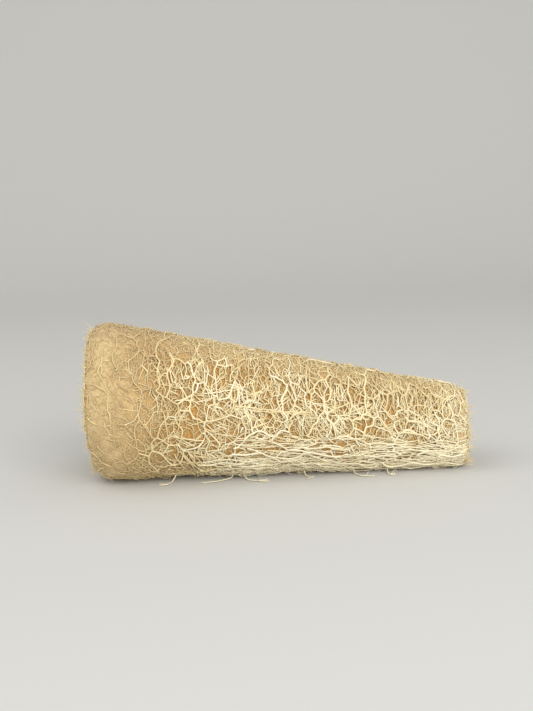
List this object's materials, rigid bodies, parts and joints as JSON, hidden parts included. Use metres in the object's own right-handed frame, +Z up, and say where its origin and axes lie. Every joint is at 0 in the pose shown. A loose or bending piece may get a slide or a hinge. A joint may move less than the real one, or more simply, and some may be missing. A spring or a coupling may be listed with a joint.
{
  "type": "natural loofah sponge",
  "caption": "Dried, tapered luffa gourd skeleton cut across at both ends: a net of tangled plant fibres round seed channels, lying on its side as a bath sponge.",
  "frame": {"origin": "under the middle of the bounding box, on the surface that the sponge lies on", "axes": "+X along the gourd from its wide cut to its narrow cut, +Z up, -Y towards the viewer of the picture"},
  "size_m": [0.1784, 0.0678, 0.0712],
  "materials": {
    "dried_luffa_fibre": "dried, lignified plant fibre, straw to cream, matt with a faint waxy sheen, amber where it is thick and deep"
  },
  "bodies": {
    "root": {"loofah": "dried_luffa_fibre"}
  },
  "joints": []
}
